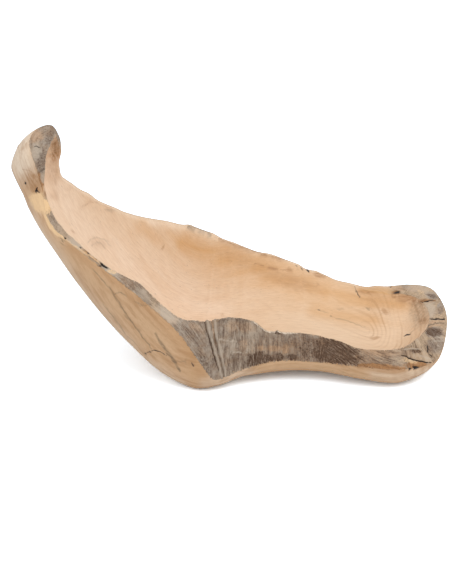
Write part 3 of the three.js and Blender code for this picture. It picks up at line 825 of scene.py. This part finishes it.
def loft(sizes):
    """Lofts the bowl through its sections."""
    lips, edges, ws, rounds, greys = rim_places(sizes)
    at, sample = rim_steps()
    lip = spline(lips, at, closed=True, power=RIM_POWER)
    edge = spline(edges, at, closed=True, power=RIM_POWER)
    here = np.floor(at).astype(int)
    after = (here + 1) % len(ws)
    part = at - here
    w, rounded, grey = (v[here] * (1 - part) + v[after] * part for v in (ws, rounds, greys))
    keel, depth, past, trough = section_planes(w, sizes)
    step = np.linalg.norm(np.roll(edge + lip, -1, axis=0) - edge - lip, axis=1) / 2
    along = np.concatenate([[0], np.cumsum(step)])
    lip, edge = natural_edge(lip, edge, depth, at, along[:-1])

    rows = []
    for share in np.arange(HOLLOW_ROWS) / HOLLOW_ROWS:
        rows.append(bow(trough, lip, depth, share, share ** sizes.hollow_round))
    for share in np.arange(FACE_ROWS) / FACE_ROWS:
        rows.append(lip + (edge - lip) * share)
    power = (2 / rounded)[:, None]
    for turn in np.pi / 2 * (1 - np.arange(HULL_ROWS + 1) / HULL_ROWS):
        rows.append(bow(keel, edge, depth, math.sin(turn) ** power, 1 - math.cos(turn) ** power))
    points = np.stack(rows, axis=1)

    lengths = np.linalg.norm(np.diff(points, axis=1), axis=2)
    run = np.concatenate([np.zeros((len(at), 1)), np.cumsum(lengths, axis=1)], axis=1)
    from_keel = points - keel[:, None]
    front = slice(sample.max() + 1)
    arc = np.concatenate([[0], np.cumsum(np.linalg.norm(np.diff(keel[front], axis=0), axis=1))])
    flow = np.interp(w, w[front], arc)
    fields = {
        "along": np.repeat(along[:-1, None], points.shape[1], axis=1),
        "below_lip": run - run[:, HOLLOW_ROWS, None],
        "below_edge": run - run[:, HOLLOW_ROWS + FACE_ROWS, None],
        "grey": np.repeat(grey[:, None], points.shape[1], axis=1),
        "flow": flow[:, None] + np.sum(from_keel * past[:, None], axis=2),
        "ring": np.sum(from_keel * depth[:, None], axis=2),
    }
    middle = (points.reshape(-1, 3).min(axis=0) + points.reshape(-1, 3).max(axis=0)) / 2
    return Shell(points - (middle[0], middle[1], 0), sample, fields, along)


def shell_mesh(name, shell):
    """A mesh of the shell, with its fields as attributes and a map of its own for the bake."""
    columns, rows = shell.points.shape[:2]
    ends = shell.sample.max() + 1
    index = np.zeros((columns, rows), int)
    index[:, 0] = shell.sample
    index[:, -1] = ends + shell.sample
    index[:, 1:-1] = 2 * ends + np.arange(columns * (rows - 2)).reshape(columns, rows - 2)
    count = index.max() + 1
    points = np.zeros((count, 3))
    points[index.ravel()] = shell.points.reshape(-1, 3)

    # The map has two charts, the front half of the rim's round below the back half.
    turn = int(np.argmax(shell.sample == shell.sample.max())) + TAIL_STEPS * 2
    halves = ((0, turn), (turn, columns))
    down = np.linspace(CHART_GAP, 0.5 - CHART_GAP, rows)
    faces = []
    corners = []
    for chart, (first, stop) in enumerate(halves):
        span = shell.along[stop] - shell.along[first]
        across = (shell.along[first:stop + 1] - shell.along[first]) / span
        across = CHART_GAP + (1 - 2 * CHART_GAP) * across
        for j in range(first, stop):
            far = (j + 1) % columns
            for k in range(rows - 1):
                face = (index[j, k], index[j, k + 1], index[far, k + 1], index[far, k])
                left, right = across[j - first], across[j - first + 1]
                top, bottom = down[k] + chart / 2, down[k + 1] + chart / 2
                place = ((left, top), (left, bottom), (right, bottom), (right, top))
                keep = [i for i in range(4) if face[i] != face[(i + 1) % 4]]
                faces.append([face[i] for i in keep])
                corners.extend(place[i] for i in keep)
    mesh = bpy.data.meshes.new(name)
    mesh.from_pydata(points, [], faces)
    mesh.uv_layers.new(name="OFBake").data.foreach_set("uv", np.ravel(corners))
    for field, values in shell.fields.items():
        spread = np.zeros(count)
        spread[index.ravel()] = values.ravel()
        mesh.attributes.new(field, "FLOAT", "POINT").data.foreach_set("value", spread)
    return mesh


def round_off(mesh, corner):
    """Rounds the hull off at a corner, and swells it a little above."""
    soft = bmesh.new()
    soft.from_mesh(mesh)
    below_edge = soft.verts.layers.float["below_edge"]
    near = [v for v in soft.verts if v[below_edge] > 0 and (v.co - corner).length < CORNER_REACH]
    for _ in range(CORNER_TURNS):
        bmesh.ops.smooth_vert(
            soft, verts=near, factor=0.5, use_axis_x=True, use_axis_y=True, use_axis_z=True)
    swollen = corner + Vector((0, 0, CORNER_LIFT))
    for vertex in near:
        vertex.co.x -= CORNER_SWELL * max(0, 1 - ((vertex.co - swollen).length / CORNER_REACH) ** 2)
    soft.to_mesh(mesh)
    soft.free()
    mesh.update()


def read(data, name, size):
    """One value or vector of each vertex."""
    values = np.zeros(len(data) * size)
    data.foreach_get(name, values)
    return values.reshape(-1, size) if size > 1 else values


class Surface:
    """The bowl's surface by vertex: places, normals, fields, and where it shows in the photo."""

    def __init__(self, mesh, stage):
        self.places = read(mesh.vertices, "co", 3)
        self.normals = read(mesh.vertices, "normal", 3)
        self.fields = {a.name: read(a.data, "value", 1) for a in mesh.attributes
                       if a.domain == "POINT" and a.data_type == "FLOAT"}
        self.pixels = photo_pixels(self.places, stage)
        self.pixel_size = stage.distance / (PHOTO_HEIGHT * stage.lens / SENSOR)
        eye = camera_axes(stage)[0]
        sight = (eye - self.places) / np.linalg.norm(eye - self.places, axis=1, keepdims=True)
        self.facing = np.sum(sight * self.normals, axis=1)
        self.below_lip = self.fields["below_lip"]
        self.below_edge = self.fields["below_edge"]
        wander = [soft_noise(self.places / WANDER_CELL, seed) - 0.5 for seed in WANDER_SEEDS]
        self.wander = np.stack(wander, axis=1)

    def on(self, surface, broad=False):
        """Which vertices a mark on that surface can touch. A broad one fades out behind the silhouette."""
        parts = {
            "hollow": self.below_lip < MARK_SLACK,
            "face": (self.below_lip > -MARK_SLACK) & (self.below_edge < MARK_SLACK),
            "hull": self.below_edge > -MARK_SLACK,
            "outside": self.below_lip > 0,
            "all": np.ones(len(self.places), bool),
        }
        if broad:
            return ramp(self.facing, -WRAP, 0) * parts[surface]
        return (self.facing > 0) & parts[surface]

    def line_reach(self, line):
        """Distance from each vertex to a line, and how far along the line its nearest point is, 0 to 1."""
        points = np.array(line.points, float)
        lengths = np.linalg.norm(np.diff(points, axis=0), axis=1)
        starts = np.concatenate([[0], np.cumsum(lengths)])
        pixels = self.pixels + self.wander * LINE_WANDER
        reach = np.full(len(pixels), np.inf)
        share = np.zeros(len(pixels))
        for start, step, length, before in zip(points[:-1], np.diff(points, axis=0), lengths, starts):
            along = np.clip((pixels - start) @ step / length ** 2, 0, 1)
            away = np.linalg.norm(pixels - start - along[:, None] * step, axis=1)
            nearer = away < reach
            reach[nearer] = away[nearer]
            share[nearer] = ((before + along * length) / starts[-1])[nearer]
        return reach * self.pixel_size, share

    def spot_reach(self, spot):
        """Distance of each vertex from the middle of a spot, in its radii."""
        away = self.pixels - spot.centre + self.wander * SPOT_WANDER * min(spot.radii)
        turn = math.radians(spot.turn)
        across = away @ (math.cos(turn), math.sin(turn)) / spot.radii[0]
        down = away @ (-math.sin(turn), math.cos(turn)) / spot.radii[1]
        return np.hypot(across, down)


def refine(mesh, stage):
    """Cuts the mesh finer on the weathered rim and along narrow marks."""
    surface = Surface(mesh, stage)
    fine = (surface.below_lip > -FACE_SLACK) & (surface.below_edge < FACE_SLACK)
    fine &= surface.fields["grey"] > BACK_GREY + GREY_SLACK
    for line in LINES:
        if line.kind in FINE_KINDS and line.width < FINE_WIDTH:
            reach = surface.line_reach(line)[0]
            fine |= surface.on(line.surface) & (reach < line.width * MM + FINE_MARGIN)
    for spot in SPOTS:
        if spot.kind in FINE_KINDS and max(spot.radii) < FINE_RADIUS:
            fine |= surface.on(spot.surface) & (surface.spot_reach(spot) < FINE_SPREAD)
    rough = bmesh.new()
    rough.from_mesh(mesh)
    edges = [edge for edge in rough.edges if all(fine[vertex.index] for vertex in edge.verts)]
    bmesh.ops.subdivide_edges(rough, edges=edges, cuts=FINE_CUTS, use_grid_fill=True)
    rough.to_mesh(mesh)
    rough.free()
    mesh.update()


def mark(surface):
    """Tints from 0 to 1 and relief in metres, from the lines and spots."""
    tints = {name: np.zeros(len(surface.places)) for name in TINTS}
    tints["grey"] += surface.fields["grey"]
    relief = np.zeros(len(surface.places))
    for line in LINES:
        reach, share = surface.line_reach(line)
        half = line.width / 2 * MM
        if line.kind in BROAD_TINTS:
            weight = np.exp(-(reach / (2 * half)) ** 2)
        else:
            half = half * (LINE_END + (1 - LINE_END) * np.sin(np.pi * share))
            weight = np.clip((LINE_EDGE * half - reach) / half, 0, 1)
        weight = weight * surface.on(line.surface, line.kind in BROAD_TINTS)
        relief += weight * line.relief * MM
        if line.kind in tints:
            tints[line.kind] = np.maximum(tints[line.kind], weight * line.strength)
    for spot in SPOTS:
        weight = np.clip((SPOT_EDGE - surface.spot_reach(spot)) / SPOT_FADE, 0, 1)
        weight = weight * surface.on(spot.surface)
        relief += weight * spot.relief * MM
        tints[spot.kind] = np.maximum(tints[spot.kind], weight * spot.strength)
    return tints, relief


def fibre_lay(surface):
    """How the weathered fibres lie: distance across slanting ones, their share, and how fibrous the wood is.

    Left of the flutes the fibres follow the hull's edge, past the waist they slant down to the right,
    and elsewhere they run straight down the face. The ends of the horn and the tail have none.
    """
    across, row = surface.pixels.T
    slant = SLANT_DOWN * surface.below_lip + SLANT_ALONG * surface.fields["along"]
    slant = np.where(across < FLUTES_PIXEL, surface.below_edge, slant)
    share = ramp(across, *EDGE_FIBRES) + ramp(across, *SLANT_START) * ramp(across, *SLANT_END)
    smooth_end = ramp(across, *SMOOTH_TAIL) * ramp(row, *SMOOTH_TAIL_ROWS)
    return slant, share, ramp(across, *FIBRES_START) * (1 - smooth_end)


def weathered_relief(surface):
    """Fibres, flutes and lumps of the natural face, which lies a little below the sanded wood beside it."""
    along, below = surface.fields["along"], surface.below_lip
    slant, share, fibrous = fibre_lay(surface)
    upright = heights(UPRIGHT_FIBRES, along, below) + heights(BUNDLES, along, below)
    slanting = heights(SLANTING_FIBRES, along, slant)
    fibres = fibrous * (upright * (1 - share) + slanting * share)
    lumps = heights(LUMPS, along, below) + heights(GRAINS, *surface.places.T)
    inside = np.clip(np.minimum(below, -surface.below_edge) / FACE_BORDER, 0, 1)
    worn = np.clip((surface.fields["grey"] - BACK_GREY) / WORN_RISE, 0, 1)
    return inside * worn * (fibres + lumps - FACE_SINK)


def wood_vectors(surface, tints, relief):
    """What the wood's material reads at each vertex, as the three values of each of VECTORS."""
    fields = surface.fields
    across = surface.pixels[:, 0]
    x, y, _ = surface.places.T
    slant, share, fibrous = fibre_lay(surface)
    fringe = ramp(across, *FRINGE_START) * ramp(across, *FRINGE_END)
    ring_share = RING_LEAST + (1 - RING_LEAST) * ramp(across, *TAIL_RINGS)
    past_heart = np.maximum(x - TAIL_HEART[0], 0)
    before_heart = np.minimum(x - TAIL_HEART[0], 0)
    aside = y - TAIL_HEART[1] + RING_SPREAD * before_heart
    return {
        "rim": (fields["along"], surface.below_lip, surface.below_edge),
        "lay": (fields["along"], slant, share),
        "grain": (fields["flow"], fields["ring"], y),
        "arc": (np.hypot(past_heart, RING_BEND * aside), ring_share, y),
        "warmth": (tints["honey_and_shade"], tints["blush"], tints["cream"]),
        "stain_and_shade": (tints["brown"], tints["yellow"], tints["vein_and_shade"]),
        "wear_and_shade": (tints["dark"], tints["tan"], tints["pale"]),
        "cut": (tints["crack"], relief, tints["grey"]),
        "worn": (fibrous, fields["flow"] + STREAK_SLOPE * y + fields["ring"], fringe),
    }


def add(tree, kind, inputs=(), **settings):
    """Adds one node, with its settings, and values, nodes or sockets for its inputs by name or order."""
    node = tree.nodes.new("ShaderNode" + kind)
    for name, value in settings.items():
        setattr(node, name, value)
    sockets = [socket for socket in node.inputs if socket.enabled]
    for key, value in inputs.items() if isinstance(inputs, dict) else enumerate(inputs):
        socket = sockets[key] if isinstance(key, int) else next(s for s in sockets if s.name == key)
        if isinstance(value, bpy.types.Node):
            value = next(output for output in value.outputs if output.enabled)
        if isinstance(value, bpy.types.NodeSocket):
            tree.links.new(value, socket)
        else:
            socket.default_value = value
    return node


def stretched_noise(tree, place, pattern):
    """A pattern's noise, stretched along the place's three directions as its cell is."""
    scale = tuple(1 / (size * MM) if size else 0.0 for size in pattern.cell)
    spread = add(tree, "VectorMath", (place, scale), operation="MULTIPLY")
    noise = add(tree, "TexNoise", {
        "Vector": spread, "Scale": 1.0, "Detail": pattern.detail, "Roughness": pattern.roughness,
        "Distortion": pattern.distortion})
    return noise.outputs["Fac"]


def ragged(tree, share, noise, start, stop):
    """A share from 0 to 1 that noise roughens before it is cut off between start and stop."""
    rough = add(tree, "Math", (noise, 1.0, -0.5), operation="MULTIPLY_ADD")
    rough = add(tree, "Math", (rough, share), operation="ADD")
    return add(tree, "MapRange", (rough, start, stop))


def lay_over(tree, colour, *coats):
    """A colour under coats, each given as its share and its own colour."""
    for share, coat in coats:
        colour = add(tree, "Mix", (share, colour, coat), data_type="RGBA")
    return colour


def sanded_colour(tree, finish, values, split, hull, blotch):
    """Sanded olive wood: warm broad figure, fine growth rings, short pores and darker veins, with painted
    shade on the hollow's back wall and the tail's end wall.
    """
    warmth, stain_and_shade, arc = split["warmth"], split["stain_and_shade"], split["arc"]
    streaky = add(tree, "CombineXYZ", (split["worn"][1], split["grain"][1], split["grain"][2]))
    figure = stretched_noise(tree, streaky, FIGURE)
    warm = add(tree, "Math", (figure, 1.0, -0.5), operation="MULTIPLY_ADD")
    # The honey share is warmer heartwood and figure, and on the hollow's back wall also painted shade.
    honey_and_shade = add(tree, "Math", (warm, warmth[0]), operation="ADD", use_clamp=True)
    hollow = lay_over(tree, finish.peach, (warmth[1], finish.blush), (honey_and_shade, finish.honey_and_shade))
    streak = add(tree, "MapRange", (stretched_noise(tree, streaky, STREAKS), *STREAK_RAMP))
    outside = lay_over(
        tree, finish.khaki, (honey_and_shade, finish.amber), (warmth[2], finish.cream), (streak, finish.ring))

    # Growth rings run along the hollow and bend round in the tail, and wander with the root's own swirls.
    swirls = stretched_noise(tree, values["grain"], SWIRLS)
    ring = add(tree, "Math", (swirls, RING_WANDER, arc[0]), operation="MULTIPLY_ADD")
    turns = add(tree, "Math", (ring, 2 * math.pi / finish.ring_width), operation="MULTIPLY")
    wave = add(tree, "Math", (turns,), operation="SINE")
    across_rings = add(tree, "CombineXYZ", (ring, 0.0, arc[2]))
    shown = add(tree, "MapRange", (stretched_noise(tree, across_rings, RING_PATCHES), *RING_RAMP))
    shown = add(tree, "Math", (shown, arc[1]), operation="MULTIPLY")
    line = add(tree, "MapRange", (wave, *WAVE_RAMP))
    line = add(tree, "Math", (line, shown), operation="MULTIPLY")

    fine = stretched_noise(tree, streaky, FINE_GRAIN)
    grain = add(tree, "MapRange", (fine, *GRAIN_RAMP))
    pore = add(tree, "MapRange", (stretched_noise(tree, streaky, PORES), *PORE_RAMP))
    edge = add(tree, "MapRange", (split["rim"][2], *EDGE_RAMP))
    edge = ragged(tree, edge, blotch, start=0.4, stop=0.7)
    edge = add(tree, "Math", (edge, hull), operation="SUBTRACT", use_clamp=True)
    clouds = stretched_noise(tree, streaky, STAIN_AND_SHADE_CLOUDS)
    # These clouds break up stains, veins and the painted shade on the tail's end wall.
    patchy = add(tree, "MapRange", (clouds, *STAIN_AND_SHADE_RAMP))
    brown = add(tree, "Math", (stain_and_shade[0], patchy), operation="MULTIPLY")
    smooth = add(tree, "MapRange", (clouds, *SAPWOOD_RAMP))
    bare = ragged(tree, stain_and_shade[1], blotch, start=0.3, stop=0.8)
    bare = add(tree, "Math", (bare, smooth), operation="MULTIPLY")
    vein_and_shade = add(tree, "Math", (stain_and_shade[2], patchy), operation="MULTIPLY")
    colour = lay_over(
        tree, hollow, (hull, outside), (line, finish.ring), (grain, finish.ring), (pore, finish.vein_and_shade),
        (edge, finish.brown), (brown, finish.brown), (bare, finish.sapwood), (vein_and_shade, finish.vein_and_shade))
    return colour, fine


def weathered_colour(tree, finish, values, split, blotch):
    """Bare root face left to the weather: silver-grey fibre bundles over brown, with painted shade in its low
    places and grooves and painted highlight on its raised places.
    """
    rim, lay = values["rim"], values["lay"]
    wear_and_shade, grey = split["wear_and_shade"], split["cut"][2]
    fibrous, slanted = split["worn"][0], split["lay"][2]
    width = finish.fibre_width / MM
    upright = stretched_noise(tree, rim, Pattern((width, FIBRE_LENGTH, 0), *FIBRE_DETAIL))
    slanting = stretched_noise(tree, lay, Pattern((FIBRE_LENGTH, width, 0), *FIBRE_DETAIL))
    fibres = add(tree, "Mix", (slanted, upright, slanting))
    fibres = add(tree, "Mix", (fibrous, 0.5, fibres))
    specks = stretched_noise(tree, rim, SPECKS)
    fibre_share = add(tree, "MapRange", (fibrous, *FIBRE_RAMP))
    height = add(tree, "Mix", (fibre_share, specks, fibres))
    raised = add(tree, "Math", (split["cut"][1], RELIEF_SHARE, height), operation="MULTIPLY_ADD")

    # Broad light and dark follow the flutes where fibres stand upright, and bands where they slant.
    # Along the flutes this light and dark is their painted highlight and shade.
    fluted = add(tree, "Math", (slanted, -FLUTE_SHARE, FLUTE_SHARE), operation="MULTIPLY_ADD")
    fluted = add(tree, "Math", (fibrous, fluted), operation="MULTIPLY")
    banded = add(tree, "Math", (slanted, BAND_SHARE), operation="MULTIPLY")
    calm = add(tree, "MapRange", (fibrous, *CALM_RAMP))
    mottle = stretched_noise(tree, rim, MOTTLE)
    mottle = add(tree, "Mix", (fluted, mottle, stretched_noise(tree, rim, FLUTES)))
    mottle = add(tree, "Mix", (banded, mottle, stretched_noise(tree, lay, BANDS)))
    mottle = add(tree, "Mix", (calm, mottle, CALM_MOTTLE))

    clouds = stretched_noise(tree, rim, BROWN_CLOUDS)
    bark = add(tree, "MapRange", (clouds, *BARK_RAMP))
    greyed = ragged(tree, grey, clouds, start=0.2, stop=0.85)
    tan = ragged(tree, wear_and_shade[1], blotch, start=0.1, stop=0.95)
    brown = ragged(tree, split["stain_and_shade"][0], specks, start=0.2, stop=0.8)
    shade = add(tree, "MapRange", (mottle, *SHADE_RAMP))
    light = add(tree, "MapRange", (mottle, *LIGHT_RAMP))
    # Painted shade in the low places of the relief and fibres.
    low = add(tree, "MapRange", (raised, *LOW_RAMP))
    dark = add(tree, "MapRange", (height, *DARK_RAMP))
    dark_patch = ragged(tree, wear_and_shade[0], blotch, start=0.3, stop=0.75)
    dark = add(tree, "Math", (dark_patch, dark), operation="MULTIPLY")
    # Painted highlight on the raised places of the relief and fibres.
    high = add(tree, "MapRange", (raised, *HIGH_RAMP))
    pale = add(tree, "Math", (wear_and_shade[2], PALE_SHARE), operation="MULTIPLY")
    pale = add(tree, "Math", (high, pale), operation="MAXIMUM")
    bare = ragged(tree, split["stain_and_shade"][1], specks, start=0.35, stop=0.75)
    fringe = add(tree, "MapRange", (split["rim"][1], *FRINGE_RAMP))
    fringe = add(tree, "Math", (fringe, split["worn"][2]), operation="MULTIPLY")
    fringe = ragged(tree, fringe, blotch, start=0.4, stop=0.6)
    driftwood = lay_over(tree, finish.driftwood, (bark, finish.bark))
    colour = lay_over(
        tree, finish.beige, (greyed, driftwood), (tan, finish.tan), (brown, finish.brown),
        (shade, finish.umber), (light, finish.fibre), (low, finish.umber), (dark, finish.umber),
        (pale, finish.fibre), (bare, finish.sapwood), (fringe, finish.cream))
    return colour, height


def olive_wood(finish):
    """Olive root wood, sanded and lightly waxed, with bare weathered wood on the natural rim."""
    material = bpy.data.materials.new("sanded olive wood with weathered rim")
    material.use_nodes = True
    tree = material.node_tree
    tree.nodes.clear()
    values = {}
    for name in VECTORS:
        values[name] = add(tree, "Attribute", attribute_name=name).outputs["Vector"]
    split = {name: add(tree, "SeparateXYZ", (values[name],)).outputs for name in values}
    crack, _, grey = split["cut"]
    blotch = stretched_noise(tree, values["rim"], BLOTCHES)

    # The natural face's borders are ragged, and its greyness tells where it was sanded over.
    jag = add(tree, "MapRange", (split["worn"][0], *JAG_RAMP))
    uneven = add(tree, "Math", (blotch, 0.5), operation="SUBTRACT")
    jag = add(tree, "Math", (uneven, jag), operation="MULTIPLY")
    past_lip = add(tree, "Math", (split["rim"][1], jag), operation="ADD")
    past_edge = add(tree, "Math", (split["rim"][2], jag), operation="ADD")
    face = add(tree, "MapRange", (past_lip, *BORDER_RAMP))
    hull = add(tree, "MapRange", (past_edge, *BORDER_RAMP))
    worn = add(tree, "MapRange", (grey, *WORN_RAMP))
    natural = add(tree, "Math", (face, hull), operation="SUBTRACT", use_clamp=True)
    natural = add(tree, "Math", (natural, worn), operation="MULTIPLY")

    sanded, fine = sanded_colour(tree, finish, values, split, hull, blotch)
    weathered, height = weathered_colour(tree, finish, values, split, blotch)
    opened = add(tree, "MapRange", (crack, *CRACK_RAMP))
    colour = lay_over(tree, sanded, (natural, weathered), (opened, finish.crack))

    # Waxed sanded wood has a soft gloss, and weathered wood has none.
    roughness = add(tree, "MapRange", (natural, *ROUGHNESS_RAMP))
    fine_height = add(tree, "Math", (fine, SANDED_BUMP), operation="MULTIPLY")
    bump_height = add(tree, "Mix", (natural, fine_height, height))
    bump = add(tree, "Bump", {"Strength": BUMP_STRENGTH, "Distance": BUMP_DEPTH, "Height": bump_height})
    shader = add(tree, "BsdfPrincipled", {
        "Base Color": colour, "Roughness": roughness, "IOR": WOOD_IOR, "Normal": bump})
    add(tree, "OutputMaterial", (shader,))
    return material


class BOWL_OT_carve(bpy.types.Operator):
    """Carve the bowl from its section table and finish its wood"""

    bl_idname = "bowl.carve"
    bl_label = "Carve bowl"

    def execute(self, context):
        scene = context.scene
        shell = loft(scene.bowl_sizes)
        mesh = shell_mesh("carved_bowl", shell)
        round_off(mesh, Vector(shell.points[0, -1]))
        refine(mesh, scene.bowl_stage)
        surface = Surface(mesh, scene.bowl_stage)
        tints, relief = mark(surface)
        relief = relief + weathered_relief(surface)
        raised = relief + heights(HAND, *surface.places.T)
        places = surface.places + surface.normals * raised[:, None]
        places[:, 2] = np.maximum(places[:, 2], 0)
        mesh.vertices.foreach_set("co", places.ravel())
        for name, parts in wood_vectors(surface, tints, relief).items():
            values = np.stack(parts, axis=1).ravel()
            mesh.attributes.new(name, "FLOAT_VECTOR", "POINT").data.foreach_set("vector", values)
        for name in surface.fields:
            mesh.attributes.remove(mesh.attributes[name])
        mesh.polygons.foreach_set("use_smooth", np.ones(len(mesh.polygons), bool))
        mesh.materials.append(olive_wood(scene.bowl_finish))
        mesh.update()
        bowl = bpy.data.objects.new("carved_bowl", mesh)
        scene.collection.objects.link(bowl)
        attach(bowl, "root")
        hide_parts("bowl")
        return {"FINISHED"}


class BOWL_OT_stage(bpy.types.Operator):
    """Set the floor, the soft light and the camera"""

    bl_idname = "bowl.stage"
    bl_label = "Set stage"

    def execute(self, context):
        scene = context.scene
        stage = scene.bowl_stage
        scene.view_settings.view_transform = "Standard"
        self.set_world(scene, stage)
        self.lay_floor(scene, stage)
        self.hang_lights(scene, stage)
        self.place_camera(scene, stage)
        return {"FINISHED"}

    def set_world(self, scene, stage):
        world = bpy.data.worlds.new("studio")
        scene.world = world
        world.use_nodes = True
        tree = world.node_tree
        tree.nodes.clear()
        path = add(tree, "LightPath").outputs
        seen = add(tree, "Math", (path["Is Camera Ray"], path["Is Glossy Ray"]), operation="MAXIMUM")
        seen = add(tree, "Math", (seen, path["Is Transmission Ray"]), operation="MAXIMUM")
        strength = add(tree, "MapRange", (seen, 0.0, 1.0, stage.sky_strength, 1.0))
        sky = add(tree, "Background", {"Color": linear(SKY_WHITE), "Strength": strength})
        add(tree, "OutputWorld", (sky,))

    def lay_floor(self, scene, stage):
        mesh = bpy.data.meshes.new("floor")
        half = FLOOR_HALF
        corners = [(-half, -half, 0), (half, -half, 0), (half, half, 0), (-half, half, 0)]
        mesh.from_pydata(corners, [], [(0, 1, 2, 3)])
        floor = bpy.data.objects.new("floor", mesh)
        scene.collection.objects.link(floor)
        # Matt paper takes a soft shadow. The camera sees it brighter than it is, up to white.
        material = bpy.data.materials.new("white paper floor")
        material.use_nodes = True
        tree = material.node_tree
        tree.nodes.clear()
        seen = add(tree, "LightPath").outputs["Is Camera Ray"]
        white = lay_over(tree, linear(PAPER), (seen, (*stage.floor_white, 1.0)))
        paper = add(tree, "BsdfDiffuse", {"Color": white})
        add(tree, "OutputMaterial", (paper,))
        mesh.materials.append(material)

    def hang_lights(self, scene, stage):
        softboxes = (
            ("overhead softbox", KEY_PLACE, stage.key_power),
            ("left softbox", FILL_PLACE, stage.fill_power),
        )
        for name, place, power in softboxes:
            light = bpy.data.lights.new(name, "AREA")
            light.shape = "RECTANGLE"
            light.size, light.size_y = SOFTBOX
            light.energy = power
            lamp = bpy.data.objects.new(name, light)
            lamp.location = place
            ray = Vector(LIGHT_AIM) - lamp.location
            lamp.rotation_euler = ray.to_track_quat("-Z", "Y").to_euler()
            scene.collection.objects.link(lamp)

    def place_camera(self, scene, stage):
        eye, _, _, back = camera_axes(stage)
        data = bpy.data.cameras.new("camera")
        data.lens = stage.lens
        data.sensor_width = SENSOR
        data.sensor_fit = "AUTO"
        camera = bpy.data.objects.new("camera", data)
        camera.location = eye
        camera.rotation_euler = Vector(-back).to_track_quat("-Z", "Y").to_euler()
        scene.collection.objects.link(camera)
        scene.camera = camera


class BOWL_PT_panel(bpy.types.Panel):
    """Sizes, finish and stage of the bowl"""

    bl_idname = "BOWL_PT_panel"
    bl_label = "Olive root bowl"
    bl_space_type = "VIEW_3D"
    bl_region_type = "UI"
    bl_category = "Bowl"

    def draw(self, context):
        for group in (context.scene.bowl_sizes, context.scene.bowl_finish, context.scene.bowl_stage):
            box = self.layout.box()
            for name in group.__annotations__:
                box.prop(group, name)
        self.layout.operator(BOWL_OT_carve.bl_idname)
        self.layout.operator(BOWL_OT_stage.bl_idname)


CLASSES = (BowlSizes, BowlFinish, BowlStage, BOWL_OT_carve, BOWL_OT_stage, BOWL_PT_panel)


def register():
    for each in CLASSES:
        bpy.utils.register_class(each)
    bpy.types.Scene.bowl_sizes = PointerProperty(type=BowlSizes)
    bpy.types.Scene.bowl_finish = PointerProperty(type=BowlFinish)
    bpy.types.Scene.bowl_stage = PointerProperty(type=BowlStage)


def unregister():
    del bpy.types.Scene.bowl_stage
    del bpy.types.Scene.bowl_finish
    del bpy.types.Scene.bowl_sizes
    for each in reversed(CLASSES):
        bpy.utils.unregister_class(each)


def main():
    register()
    bpy.ops.bowl.carve()
    bpy.ops.bowl.stage()


if __name__ == "__main__":
    main()
